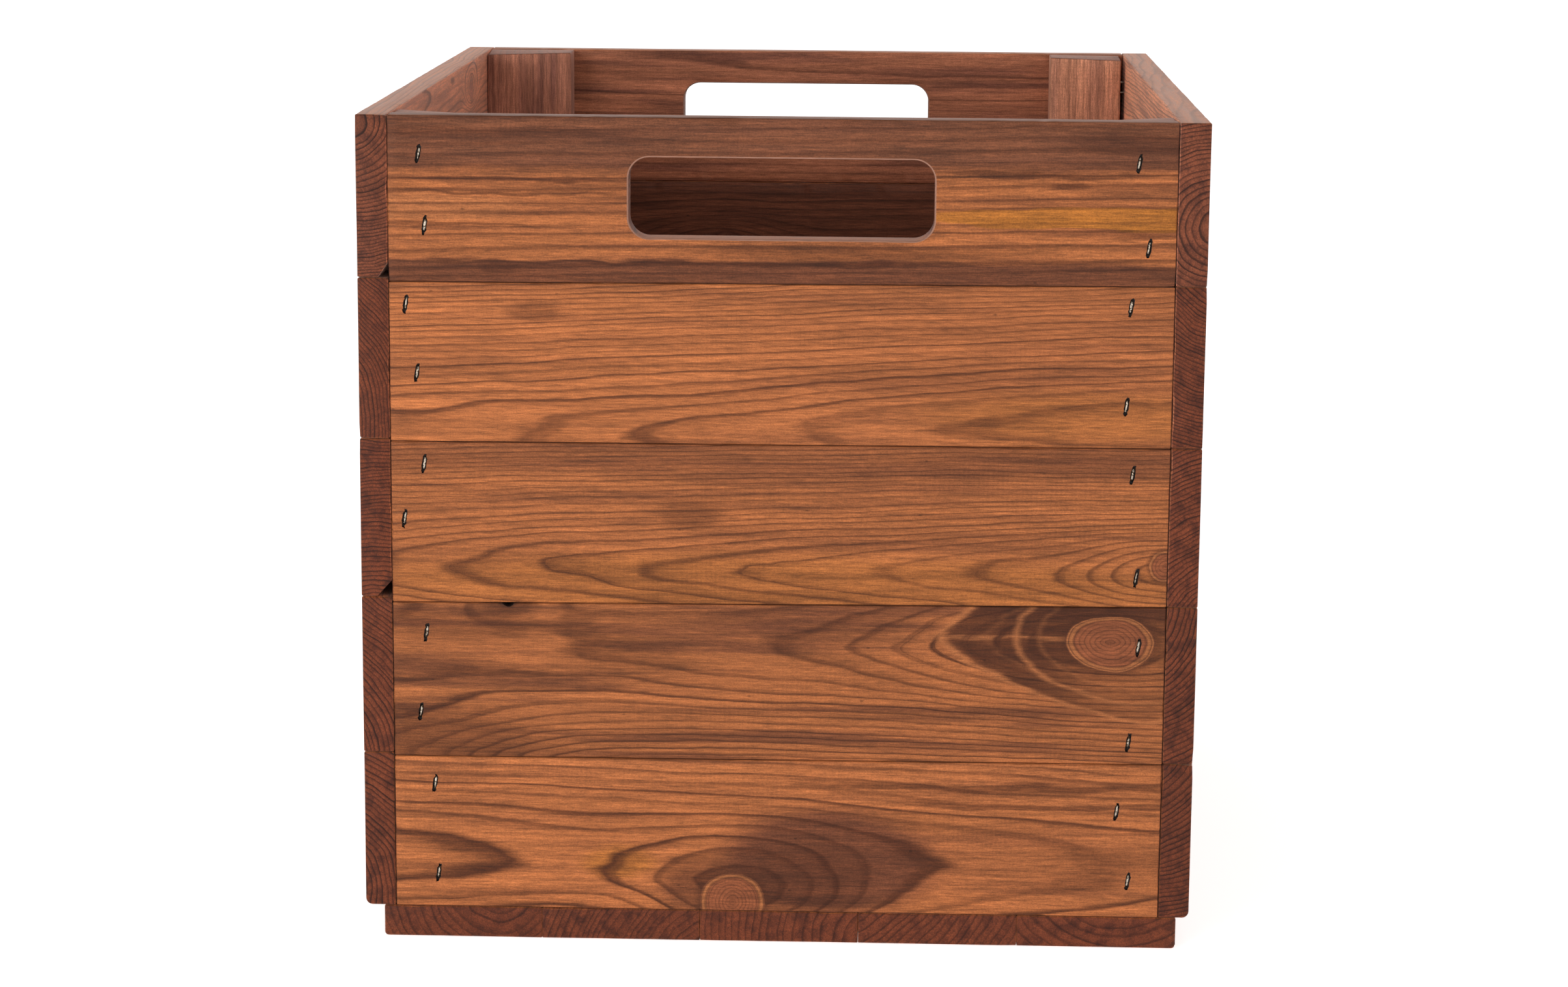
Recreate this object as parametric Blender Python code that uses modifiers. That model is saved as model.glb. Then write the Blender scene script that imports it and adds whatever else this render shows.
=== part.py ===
"""Apple crate: four walls of five boards, stapled to corner posts, on a bottom of five boards.

Metres, +Z up. The origin is the middle of the footprint, on the surface the crate stands on.
The front is the hand-slot wall that faces -Y, and +X is on its right.
"""

import math

import bmesh
import bpy
from mathutils import Matrix

# The crate over everything.
WIDTH = 0.330
DEPTH = 0.380
HEIGHT = 0.330

# Board stock. GAP is the open joint between boards that lie against each other.
WALL_THICKNESS = 0.012
BOTTOM_THICKNESS = 0.0125
BOARDS_PER_PANEL = 5
GAP = 0.0003
EDGE_BREAK = 0.0006

# The walls stand on the bottom boards and end at the rim.
WALL_BASE = BOTTOM_THICKNESS + GAP
STACK = HEIGHT - WALL_BASE
BOARD_PITCH = (STACK + GAP) / BOARDS_PER_PANEL
INSIDE_X = WIDTH / 2 - WALL_THICKNESS
INSIDE_Y = DEPTH / 2 - WALL_THICKNESS

# The bottom boards are the same stock laid front to back, a little off centre.
BOTTOM_BOARD_WIDTH = BOARD_PITCH - GAP
BOTTOM_SHIFT = 0.0012

# Joints between the front boards, as drops below the rim at the left and the right end.
FRONT_SEAMS = ((0.0648, 0.0634), (0.1278, 0.1270), (0.1924, 0.1903), (0.2552, 0.2542))

# The hand slot in the top board of the front and of the back.
SLOT_WIDTH = 0.1184
SLOT_HEIGHT = 0.0313
SLOT_RADIUS = 0.008
SLOT_BELOW_RIM = 0.0154
ARC_STEPS = 6

# Corner posts, wide face against the end wall. The back right one is narrower and stands off the side.
POST_WIDTH = 0.040
POST_THICKNESS = 0.020
NARROW_POST_WIDTH = 0.0335
NARROW_POST_GAP = 0.0022

# How far each post's sawn top drops below the rim, by corner: (at +X, at +Y).
POST_TOP_DROPS = {
    "front_left": {(0, 0): 0.0006, (0, 1): 0.0006, (1, 0): 0.0027, (1, 1): 0.0027},
    "front_right": {(0, 0): 0.0028, (0, 1): 0.0028, (1, 0): 0.0008, (1, 1): 0.0008},
    "back_left": {(0, 0): 0.0016, (0, 1): 0.0002, (1, 0): 0.0003, (1, 1): 0.0002},
    "back_right": {(0, 0): 0.0003, (0, 1): 0.0002, (1, 0): 0.0015, (1, 1): 0.0003},
}

# Staples: a bent wire with its crown upright across the grain, sunk below the board's face.
CROWN = 0.0060
WIRE = 0.0012
WIRE_WIDTH = 0.0011
LEG = 0.022
TIP = 0.0016
BEND = 0.0005
SINK = 0.0008
CUT_OVERRUN = 0.002
STAPLE_LEAN = math.radians(9)

# Two staples to each board end, top board first: distance from the middle, and drop below the rim.
LEFT_STAPLES = (
    (0.1407, 0.0149), (0.1385, 0.0426),
    (0.1462, 0.0734), (0.1420, 0.1005),
    (0.1396, 0.1366), (0.1476, 0.1587),
    (0.1394, 0.2046), (0.1420, 0.2370),
    (0.1366, 0.2663), (0.1355, 0.3034),
)
RIGHT_STAPLES = (
    (0.1377, 0.0158), (0.1422, 0.0485),
    (0.1359, 0.0715), (0.1350, 0.1105),
    (0.1382, 0.1375), (0.1405, 0.1788),
    (0.1421, 0.2066), (0.1391, 0.2453),
    (0.1352, 0.2737), (0.1403, 0.3025),
)
STAPLES_PER_BOARD_END = 2

# Bark-edge flats on the inner lower edge of two left side boards, at the front:
# board number, width on the edge, height on the face, and length before it runs out.
WANES = ((1, 0.0040, 0.0060, 0.120), (3, 0.0058, 0.0064, 0.150))
WANE_BLOCK = 0.4

# Colours, as linear RGB.
FACE_BROWN = (0.33, 0.145, 0.062)
POST_BROWN = (0.20, 0.085, 0.048)
BOTTOM_BROWN = (0.15, 0.066, 0.042)
STAPLE_STEEL = (0.42, 0.40, 0.38)
SHADE_STEPS = (1.0, 0.90, 0.96, 0.86, 0.93)


def clear_scene():
    for obj in list(bpy.data.objects):
        bpy.data.objects.remove(obj, do_unlink=True)


def new_collection(name):
    collection = bpy.data.collections.new(name)
    bpy.context.scene.collection.children.link(collection)
    return collection


def principled(name, colour, roughness, metallic=0.0):
    material = bpy.data.materials.new(name)
    material.use_nodes = True
    shader = material.node_tree.nodes["Principled BSDF"]
    shader.inputs["Base Color"].default_value = (*colour, 1.0)
    shader.inputs["Roughness"].default_value = roughness
    shader.inputs["Metallic"].default_value = metallic
    return material


def wood(name, colour, number):
    """Stained pine, each board a shade of its own."""
    shade = SHADE_STEPS[number % len(SHADE_STEPS)]
    return principled(name, tuple(channel * shade for channel in colour), roughness=0.6)


def add_object(name, mesh, collection, material=None):
    obj = bpy.data.objects.new(name, mesh)
    collection.objects.link(obj)
    if material:
        mesh.materials.append(material)
    return obj


def add_cutter(name, mesh):
    cutter = add_object(name, mesh, cutters)
    cutter.hide_render = True
    cutter.display_type = "WIRE"
    return cutter


def cut(target, cutter):
    boolean = target.modifiers.new(cutter.name, "BOOLEAN")
    boolean.operation = "DIFFERENCE"
    boolean.solver = "EXACT"
    boolean.object = cutter


def timber(name, x, y, tops, bottom, colour, number=0):
    """A sawn board or post between the two x and the two y.

    tops and bottom map a corner, (at +X, at +Y), to its height. The edges are broken by a small bevel.
    """
    bm = bmesh.new()
    bmesh.ops.create_cube(bm, size=2.0)
    centre = ((x[0] + x[1]) / 2, (y[0] + y[1]) / 2, WALL_BASE)
    for vert in bm.verts:
        corner = (int(vert.co.x > 0), int(vert.co.y > 0))
        height = tops[corner] if vert.co.z > 0 else bottom[corner]
        vert.co = (x[corner[0]] - centre[0], y[corner[1]] - centre[1], height - centre[2])
    mesh = bpy.data.meshes.new(name)
    bm.to_mesh(mesh)
    bm.free()
    obj = add_object(name, mesh, crate, wood(name, colour, number))
    obj.location = centre
    bevel = obj.modifiers.new("edge_break", "BEVEL")
    bevel.width = EDGE_BREAK
    bevel.segments = 1
    bevel.limit_method = "ANGLE"
    return obj


def by_corner(left, right):
    """Heights for timber(): one at -X and one at +X."""
    return {(side, rear): (left, right)[side] for side in (0, 1) for rear in (0, 1)}


def board_edges(seams):
    """The top and bottom edges of a wall's boards, top board first, from the seams between them."""
    lines = ((0.0, 0.0), *seams, (STACK, STACK))
    edges = []
    for number, (upper, lower) in enumerate(zip(lines, lines[1:])):
        top_gap = GAP / 2 if number else 0.0
        bottom_gap = GAP / 2 if number < BOARDS_PER_PANEL - 1 else 0.0
        top = by_corner(*(HEIGHT - drop - top_gap for drop in upper))
        bottom = by_corner(*(HEIGHT - drop + bottom_gap for drop in lower))
        edges.append((top, bottom))
    return edges


def even_seams():
    return tuple((BOARD_PITCH * number - GAP / 2,) * 2 for number in range(1, BOARDS_PER_PANEL))


def wall(side, seams, x, y):
    """Five boards on edge. The top board of an end wall carries the hand slot."""
    boards = []
    for number, (top, bottom) in enumerate(board_edges(seams), start=1):
        has_slot = number == 1 and side in ("front", "back")
        name = f"{side}_handle_board" if has_slot else f"{side}_board_{number}"
        boards.append(timber(name, x, y, top, bottom, FACE_BROWN, number))
    return boards


def walls():
    ends = (-INSIDE_X + GAP, INSIDE_X - GAP)
    length = (-DEPTH / 2, DEPTH / 2)
    return {
        "front": wall("front", FRONT_SEAMS, ends, (-DEPTH / 2, -INSIDE_Y)),
        "back": wall("back", even_seams(), ends, (INSIDE_Y, DEPTH / 2)),
        "left": wall("left_side", even_seams(), (-WIDTH / 2, -INSIDE_X), length),
        "right": wall("right_side", even_seams(), (INSIDE_X, WIDTH / 2), length),
    }


def bottom():
    first = BOTTOM_SHIFT - STACK / 2
    for number in range(BOARDS_PER_PANEL):
        left = first + number * BOARD_PITCH
        x = (left, left + BOTTOM_BOARD_WIDTH)
        heights = by_corner(BOTTOM_THICKNESS, BOTTOM_THICKNESS), by_corner(0.0, 0.0)
        timber(f"bottom_board_{number + 1}", x, (-DEPTH / 2, DEPTH / 2), *heights, BOTTOM_BROWN, number)


def posts():
    """One post in each corner, from the bottom boards to the rim, with a top sawn slightly out of true."""
    made = {}
    for place, drops in POST_TOP_DROPS.items():
        narrow = place == "back_right"
        width = NARROW_POST_WIDTH if narrow else POST_WIDTH
        outer = INSIDE_X - (NARROW_POST_GAP if narrow else GAP)
        x = (outer - width, outer) if place.endswith("right") else (-outer, width - outer)
        back = INSIDE_Y - GAP
        y = (back - POST_THICKNESS, back) if place.startswith("back") else (-back, POST_THICKNESS - back)
        tops = {corner: HEIGHT - drop for corner, drop in drops.items()}
        made[place] = timber(f"post_{place}", x, y, tops, by_corner(WALL_BASE, WALL_BASE), POST_BROWN)
    return made


def rounded_rectangle(width, height, radius):
    points = []
    for quarter in range(4):
        middle = (quarter + 0.5) * math.pi / 2
        corner_x = math.copysign(width / 2 - radius, math.cos(middle))
        corner_y = math.copysign(height / 2 - radius, math.sin(middle))
        for step in range(ARC_STEPS + 1):
            angle = (quarter + step / ARC_STEPS) * math.pi / 2
            points.append((corner_x + radius * math.cos(angle), corner_y + radius * math.sin(angle)))
    return points


def staple_outline(grow, front):
    """A staple seen from its side: legs along +X, crown at X 0, with grow added all round."""
    outer = CROWN / 2 + grow
    inner = CROWN / 2 - WIRE - grow
    end = LEG + grow
    half = [(end, inner), (end - TIP, outer), (front + BEND, outer), (front, outer - BEND)]
    lower = [(depth, -height) for depth, height in reversed(half)]
    return [(WIRE + grow, inner), *half, *lower, (WIRE + grow, -inner)]


def flat_mesh(name, outline, thickness):
    """A closed outline in XY, filled and made thickness thick along Z."""
    curve = bpy.data.curves.new(name, "CURVE")
    curve.dimensions = "2D"
    curve.fill_mode = "BOTH"
    curve.extrude = thickness / 2
    spline = curve.splines.new("POLY")
    spline.points.add(len(outline) - 1)
    for point, (x, y) in zip(spline.points, outline):
        point.co = (x, y, 0.0, 1.0)
    spline.use_cyclic_u = True
    guide = add_object(name + "_outline", curve, cutters)
    bpy.context.view_layer.update()
    mesh = bpy.data.meshes.new_from_object(guide.evaluated_get(bpy.context.evaluated_depsgraph_get()))
    mesh.name = name
    bpy.data.objects.remove(guide)
    bm = bmesh.new()
    bm.from_mesh(mesh)
    bmesh.ops.remove_doubles(bm, verts=bm.verts, dist=1e-6)
    bmesh.ops.recalc_face_normals(bm, faces=bm.faces)
    bm.to_mesh(mesh)
    bm.free()
    return mesh


def hand_slot(board, y):
    """Cuts the slot through an end wall's top board, whose middle is at y."""
    outline = rounded_rectangle(SLOT_WIDTH, SLOT_HEIGHT, SLOT_RADIUS)
    mesh = flat_mesh(f"{board.name}_slot", outline, WALL_THICKNESS + 2 * CUT_OVERRUN)
    cutter = add_cutter(f"{board.name}_slot_cutter", mesh)
    height = HEIGHT - SLOT_BELOW_RIM - SLOT_HEIGHT / 2
    cutter.matrix_world = Matrix.Translation((0.0, y, height)) @ Matrix.Rotation(math.pi / 2, 4, "X")
    cut(board, cutter)


def wane(board, number, width, height, length):
    """Takes the lower inner edge off a left side board, most at the front end."""
    lower = HEIGHT - BOARD_PITCH * number + GAP
    front = -DEPTH / 2
    run = math.hypot(width, height)
    slope = math.atan2(width * height / run, length)
    bm = bmesh.new()
    bmesh.ops.create_cube(bm, size=1.0, matrix=Matrix.Translation((0.5, 0.5, 0.0)))
    bmesh.ops.scale(bm, vec=(run * 4, WANE_BLOCK, WANE_BLOCK), verts=bm.verts)
    mesh = bpy.data.meshes.new(board.name + "_wane")
    bm.to_mesh(mesh)
    bm.free()
    cutter = add_cutter(board.name + "_wane_cutter", mesh)
    # Local X leaves the cut towards the inside and down, and local Z runs along the board.
    lean = math.atan2(width, height)
    across = Matrix.Rotation(lean, 4, "Y")
    along = Matrix.Rotation(math.pi / 2, 4, "X")
    taper = Matrix.Rotation(-slope, 4, "Y")
    deepest = Matrix.Translation((-INSIDE_X - width, front, lower))
    back_up = Matrix.Translation((0.0, -WANE_BLOCK / 4, 0.0))
    cutter.matrix_world = deepest @ across @ along @ taper @ back_up
    cut(board, cutter)


def staples(front_boards, front_posts):
    """Twenty staples through the front boards' ends into the posts, each in a slot of its own."""
    staple_mesh = flat_mesh("staple", staple_outline(0.0, 0.0), WIRE_WIDTH)
    slot_mesh = flat_mesh("staple_slot", staple_outline(GAP, -CUT_OVERRUN), WIRE_WIDTH + 2 * GAP)
    steel = principled("staple_steel", STAPLE_STEEL, roughness=0.45, metallic=1.0)
    staple_mesh.materials.append(steel)
    # Turns the outline's X into depth, its Y upright and its thickness across.
    upright = Matrix(((0, 0, 1, 0), (1, 0, 0, 0), (0, 1, 0, 0), (0, 0, 0, 1)))
    lean = Matrix.Rotation(STAPLE_LEAN, 4, "Y")
    for side, sign, places in (("left", -1, LEFT_STAPLES), ("right", 1, RIGHT_STAPLES)):
        for index, (distance, drop) in enumerate(places):
            centre = (sign * distance, -DEPTH / 2 + SINK, HEIGHT - drop)
            place = Matrix.Translation(centre) @ lean @ upright
            name = f"front_staple_{side}_{index + 1:02d}"
            staple = add_object(name, staple_mesh, crate)
            staple.matrix_world = place
            slot = add_cutter(name + "_slot", slot_mesh)
            slot.matrix_world = place
            cut(front_boards[index // STAPLES_PER_BOARD_END], slot)
            cut(front_posts[side], slot)


def main():
    made = walls()
    bottom()
    corner_posts = posts()
    hand_slot(made["front"][0], -DEPTH / 2 + WALL_THICKNESS / 2)
    hand_slot(made["back"][0], DEPTH / 2 - WALL_THICKNESS / 2)
    for number, width, height, length in WANES:
        wane(made["left"][number - 1], number, width, height, length)
    staples(made["front"], {side: corner_posts[f"front_{side}"] for side in ("left", "right")})


clear_scene()
crate = new_collection("apple_crate")
cutters = new_collection("cutters")
main()
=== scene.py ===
"""Looks of an apple crate: stained pine boards and posts, wire staples, and a plain studio.

Everything is placed from the fixed frame, in metres, with +Z up and the front wall facing -Y.
"""

import math
import random
from typing import NamedTuple

import bmesh
import bpy
from bpy.props import FloatProperty, FloatVectorProperty, PointerProperty
from mathutils import Matrix, Vector, noise


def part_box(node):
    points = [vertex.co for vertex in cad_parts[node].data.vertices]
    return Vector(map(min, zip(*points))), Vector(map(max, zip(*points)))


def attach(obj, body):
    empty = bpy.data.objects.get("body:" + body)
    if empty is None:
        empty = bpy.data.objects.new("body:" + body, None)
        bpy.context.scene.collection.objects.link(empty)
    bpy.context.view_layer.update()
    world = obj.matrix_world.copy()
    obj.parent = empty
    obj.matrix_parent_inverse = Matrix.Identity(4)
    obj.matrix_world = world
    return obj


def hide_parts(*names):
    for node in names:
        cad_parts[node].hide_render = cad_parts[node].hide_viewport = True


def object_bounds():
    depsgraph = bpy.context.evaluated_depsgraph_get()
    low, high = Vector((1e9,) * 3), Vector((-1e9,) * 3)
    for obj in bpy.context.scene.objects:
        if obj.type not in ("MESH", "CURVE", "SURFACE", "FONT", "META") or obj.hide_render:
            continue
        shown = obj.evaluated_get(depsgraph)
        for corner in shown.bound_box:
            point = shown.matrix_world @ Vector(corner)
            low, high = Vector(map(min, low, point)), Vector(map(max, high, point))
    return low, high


bl_info = {
    "name": "Apple Crate",
    "version": (1, 0, 0),
    "blender": (4, 5, 0),
    "location": "3D View > Sidebar > Crate",
    "description": "Builds the stained pine boards, posts, staples and studio of an apple crate",
    "category": "Add Mesh",
}

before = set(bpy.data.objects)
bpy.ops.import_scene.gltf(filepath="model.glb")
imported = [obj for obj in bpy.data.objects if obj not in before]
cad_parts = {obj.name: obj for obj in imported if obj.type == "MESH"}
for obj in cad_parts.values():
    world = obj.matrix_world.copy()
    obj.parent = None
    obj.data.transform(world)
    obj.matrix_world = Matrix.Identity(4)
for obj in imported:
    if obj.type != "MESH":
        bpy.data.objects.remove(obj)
cad_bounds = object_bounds()

MM = 0.001
BODY = "root"
RIM = cad_bounds[1].z
ALONG_X, ALONG_Y, ALONG_Z = range(3)

# ---------------------------------------------------------------- settings


def linear(code):
    """An sRGB hex colour as linear red, green and blue."""
    channels = (int(code[i:i + 2], 16) / 255 for i in (1, 3, 5))
    return tuple(c / 12.92 if c <= 0.04045 else ((c + 0.055) / 1.055) ** 2.4 for c in channels)


def colour_setting(name, description, code):
    return FloatVectorProperty(
        name=name, description=description, subtype="COLOR", size=3, min=0.0, max=1.0, default=linear(code)
    )


def length_setting(name, description, default):
    return FloatProperty(
        name=name, description=description, subtype="DISTANCE", unit="LENGTH", min=0.0, default=default
    )


class CrateStain(bpy.types.PropertyGroup):
    """Colours that the brown stain gives to each kind of wood, and a near-black painted shade for hollows"""

    earlywood: colour_setting("Earlywood", "Soft, pale part of each year ring", "#a66136")
    latewood: colour_setting("Latewood", "Hard, dark line that ends each year ring", "#43200f")
    heartwood: colour_setting("Heartwood", "Zones that took up more stain", "#5c3220")
    resin: colour_setting("Resin", "Amber streaks where resin filled the wood", "#a9671f")
    knot: colour_setting("Knot", "Branch wood inside a knot", "#894c2e")
    knot_rim: colour_setting("Knot rim", "Orange wood around a knot", "#aa673c")
    bark: colour_setting("Bark line", "Black line around a loose knot", "#1c0c07")
    bare: colour_setting("Slot edge", "Rounded edge of the hand slot, cut after staining", "#8f6450")
    # This is a near-black painted shade for the inside of staple dents and the knot hole.
    torn: colour_setting("Torn wood", "Shadowed wood in the dent around a staple", "#23120c")


class CrateSizes(bpy.types.PropertyGroup):
    """Sizes of the worked details"""

    edge: length_setting("Board edge", "Radius of the boards' rounded edges", 0.0005)
    worn_corner: length_setting("Worn corner", "Radius of the lowest outer corners", 0.0026)
    mesh: length_setting("Mesh", "Spacing of the boards' mesh along the grain", 0.004)
    slot_width: length_setting("Slot width", "Width of the hand slots", 0.1184)
    slot_height: length_setting("Slot height", "Height of the hand slots", 0.0313)
    slot_drop: length_setting("Slot drop", "From the rim to a hand slot", 0.0154)
    slot_corner: length_setting("Slot corner", "Corner radius of the hand slots", 0.0080)
    slot_edge: length_setting("Slot edge", "Radius of the hand slots' rounded edge", 0.0006)
    wire: length_setting("Wire", "Thickness of the staple wire", 0.0011)
    crown: length_setting("Crown", "Length of a staple's crown", 0.0060)
    leg: length_setting("Leg", "Length of a staple's legs", 0.022)
    sink: length_setting("Sink", "How far a crown lies below the board's face", 0.0007)


# ---------------------------------------------------------------- timber


class Knot(NamedTuple):
    """A knot: its middle, its radius across the grain, how much longer it is along it, and its pull on the rings."""

    x: float
    z: float
    radius: float
    stretch: float = 1.3
    pull: float = 3.0
    reach: tuple = (30.0, 14.0)
    shift: float = 0.0
    loose: float = 0.0


class Patch(NamedTuple):
    """A soft-edged oval, by its middle and half sizes, that mixes in a stain colour: all of it, or a band."""

    x: float
    z: float
    length: float
    height: float
    colour: str
    strength: float
    softness: float = 0.5
    band: float = 0.0
    roundness: float = 2.0


class Timber(NamedTuple):
    """How one board was sawn, in mm: x runs along the grain, y through the board, z across it.

    pith is the y and z of the tree's centre line beside the board's middle, and slope how it leans there. tint, ends
    and inside multiply the colour of the whole board, its end grain and its inner face; fuzz is its dusty sheen.
    """

    pith: tuple
    slope: tuple = (0.0, 0.0)
    ring: float = 3.5
    growth: float = 1.2
    contrast: float = 1.0
    heart: float = 0.45
    tint: tuple = (1.0, 1.0, 1.0)
    ends: tuple = (0.3, 0.22, 0.26)
    inside: tuple = (1.0, 1.0, 1.0)
    fuzz: float = 0.3
    phase: float = 0.0
    knots: tuple = ()
    patches: tuple = ()
    seed: float = 0.0


FRONT_TIMBER = (
    Timber(
        pith=(20.0, -150.0), slope=(0.0, 0.018), ring=4.6, growth=1.0, contrast=0.85, heart=0.45,
        tint=(0.85, 0.85, 0.85), fuzz=0.2, seed=1.3,
        patches=(
            Patch(-20.0, 31.0, 420.0, 20.0, "heartwood", 0.8, 0.3),
            Patch(-20.0, 31.0, 420.0, 18.0, "bare", 0.1, 0.6),
            Patch(20.0, -31.0, 420.0, 8.0, "heartwood", 0.85, 0.3),
            Patch(-120.0, 25.5, 60.0, 3.0, "latewood", 0.55, 0.9),
            Patch(138.0, 24.0, 28.0, 5.0, "latewood", 0.55, 0.9),
            Patch(-105.0, 8.5, 52.0, 0.8, "latewood", 0.7, 0.9),
            Patch(-110.0, 2.5, 45.0, 0.7, "latewood", 0.6, 0.9),
            Patch(-125.0, -10.0, 34.0, 0.8, "latewood", 0.6, 0.9),
            Patch(-45.0, -24.0, 120.0, 0.8, "latewood", 0.7, 0.9),
            Patch(-109.0, -26.0, 8.0, 3.0, "latewood", 0.5, 0.9),
            Patch(20.0, -20.0, 60.0, 3.5, "latewood", 0.5, 0.9),
            Patch(98.0, 11.5, 42.0, 0.7, "latewood", 0.6, 0.9),
            Patch(111.0, 7.5, 7.0, 1.3, "latewood", 0.7, 0.8),
            Patch(143.0, -11.0, 12.0, 1.3, "latewood", 0.6, 0.9),
            Patch(122.0, -5.0, 66.0, 4.6, "resin", 0.7, 0.15),
            Patch(-142.0, -3.5, 40.0, 5.0, "knot_rim", 0.7, 0.5),
        ),
    ),
    Timber(
        pith=(20.3, -26.0), slope=(-0.031, 0.028), ring=2.0, contrast=0.9, heart=0.3,
        tint=(0.96, 0.96, 0.96), fuzz=0.12, seed=2.7,
        patches=(
            Patch(-96.0, 20.0, 10.0, 4.0, "latewood", 0.45, 0.9),
            Patch(150.0, 0.0, 150.0, 60.0, "heartwood", 0.25, 1.6),
            Patch(120.0, -20.0, 60.0, 10.0, "resin", 0.2, 0.9),
        ),
    ),
    Timber(
        pith=(14.0, -19.0), slope=(-0.05, 0.0), ring=1.7, contrast=0.85, heart=0.45,
        tint=(0.83, 0.83, 0.83), fuzz=0.12, seed=4.1,
        patches=(
            Patch(0.0, -24.0, 170.0, 12.0, "resin", 0.25, 0.8),
            Patch(-35.0, 5.0, 12.0, 6.0, "latewood", 0.45, 0.9),
            Patch(-160.0, -16.0, 10.0, 7.0, "latewood", 0.4, 0.9),
            Patch(0.0, 28.0, 300.0, 8.0, "heartwood", 0.4, 0.9),
        ),
        knots=(Knot(152.0, -14.0, 6.0, 1.1, 3.0, (26.0, 12.0)),),
    ),
    Timber(
        pith=(34.0, 18.0), slope=(-0.03, 0.0), ring=2.0, contrast=1.05, heart=0.7,
        tint=(0.8, 0.8, 0.8), fuzz=0.12, seed=5.2,
        patches=(
            Patch(148.0, 20.0, 83.0, 34.0, "latewood", 0.85, 0.1, 0.0, 1.4),
            Patch(168.0, -2.0, 50.0, 24.0, "earlywood", 0.65, 0.9),
            Patch(148.0, 20.0, 84.0, 34.0, "knot_rim", 0.75, 0.05, 0.018, 1.4),
            Patch(148.0, 20.0, 66.0, 29.0, "knot_rim", 0.12, 0.05, 0.02, 1.4),
            Patch(148.0, 20.0, 54.0, 26.0, "knot_rim", 0.65, 0.06, 0.02),
            Patch(148.0, 20.0, 45.0, 21.0, "knot_rim", 0.2, 0.06, 0.02),
            Patch(90.0, 19.5, 44.0, 0.7, "knot_rim", 0.5, 0.9),
            Patch(-146.0, -27.0, 50.0, 15.0, "latewood", 0.6, 0.8),
            Patch(-130.0, 22.0, 30.0, 6.0, "latewood", 0.4, 0.9),
            Patch(-107.0, 31.0, 11.0, 6.0, "latewood", 0.7, 0.9),
            Patch(-60.0, 10.0, 24.0, 6.0, "latewood", 0.25, 0.9),
            Patch(0.0, 22.0, 60.0, 8.0, "heartwood", 0.4, 0.9),
        ),
        knots=(
            Knot(131.0, 17.5, 11.0, 1.6, 5.0, (60.0, 22.0), -10.0),
            Knot(-165.0, -46.0, 7.0, 1.5, 10.0, (66.0, 32.0)),
            Knot(-107.0, 33.0, 3.6, 1.1, 2.0, (24.0, 9.0), 0.0, 0.8),
        ),
    ),
    Timber(
        pith=(29.9, -11.0), slope=(0.036, 0.0), ring=3.0, contrast=1.0, heart=0.3,
        tint=(0.94, 0.94, 0.94), fuzz=0.12, phase=0.35, seed=6.6,
        patches=(
            Patch(20.0, -11.0, 44.0, 22.0, "heartwood", 0.9, 0.5),
            Patch(8.0, -18.0, 26.0, 14.0, "latewood", 0.45, 0.9),
            Patch(-30.0, -24.0, 16.0, 10.0, "heartwood", 0.6, 0.6),
            Patch(-63.0, -12.0, 14.0, 6.0, "resin", 0.45, 0.8),
            Patch(-32.0, -17.0, 12.0, 9.0, "latewood", 0.35, 0.9),
            Patch(96.0, 21.0, 90.0, 1.4, "latewood", 0.65, 0.9),
            Patch(110.0, 13.5, 70.0, 1.2, "latewood", 0.6, 0.9),
            Patch(100.0, -10.0, 60.0, 16.0, "heartwood", 0.25, 0.9),
        ),
        knots=(Knot(-17.5, -28.0, 12.0, 1.08, 4.6, (42.0, 28.0), 6.5),),
    ),
)


def any_timber(number):
    """A board sawn from anywhere in the tree, always the same one for a number."""
    pick = random.Random(number)
    knots = ()
    if pick.random() < 0.55:
        radius = pick.uniform(4.0, 10.0)
        knots = (Knot(
            x=pick.uniform(-140.0, 140.0), z=pick.uniform(-22.0, 22.0), radius=radius,
            stretch=pick.uniform(1.0, 1.5), pull=pick.uniform(3.0, 6.0),
            reach=(radius * 4.0, radius * 1.8), shift=pick.uniform(-8.0, 8.0),
        ),)
    return Timber(
        pith=(pick.uniform(-45.0, 45.0), pick.uniform(-60.0, 60.0)),
        slope=(pick.uniform(-0.06, 0.06), pick.uniform(-0.02, 0.02)),
        ring=pick.uniform(2.4, 4.4), growth=pick.uniform(1.0, 1.5), heart=pick.uniform(0.3, 0.7),
        tint=(pick.uniform(0.8, 0.95),) * 3, knots=knots, seed=pick.uniform(0.0, 90.0),
    )


# For each wall, the rows give its grain, its depth and its width as world axes. The outer face lies at -depth.
TURNS = {
    "front": Matrix(((1, 0, 0), (0, 1, 0), (0, 0, 1))),
    "back": Matrix(((-1, 0, 0), (0, -1, 0), (0, 0, 1))),
    "left": Matrix(((0, -1, 0), (1, 0, 0), (0, 0, 1))),
    "right": Matrix(((0, 1, 0), (-1, 0, 0), (0, 0, 1))),
    "bottom": Matrix(((0, 1, 0), (0, 0, 1), (1, 0, 0))),
    "post": Matrix(((0, 0, 1), (0, 1, 0), (-1, 0, 0))),
}
GRAIN_AXES = {
    "front": ALONG_X, "back": ALONG_X, "left": ALONG_Y, "right": ALONG_Y, "bottom": ALONG_Y, "post": ALONG_Z,
}


# ---------------------------------------------------------------- materials


def add(tree, kind, *values, sockets=None, **settings):
    """Adds a shader node. values fill its inputs in order, sockets by name; a node stands for its first output."""
    node = tree.nodes.new("ShaderNode" + kind)
    for name, value in settings.items():
        setattr(node, name, value)
    usable = [socket for socket in node.inputs if socket.enabled]
    named = [(node.inputs[name], value) for name, value in (sockets or {}).items()]
    for socket, value in [*zip(usable, values), *named]:
        if isinstance(value, bpy.types.Node):
            value = next(output for output in value.outputs if output.enabled)
        if isinstance(value, bpy.types.NodeSocket):
            tree.links.new(value, socket)
        elif value is not None:
            socket.default_value = value
    return node


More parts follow.
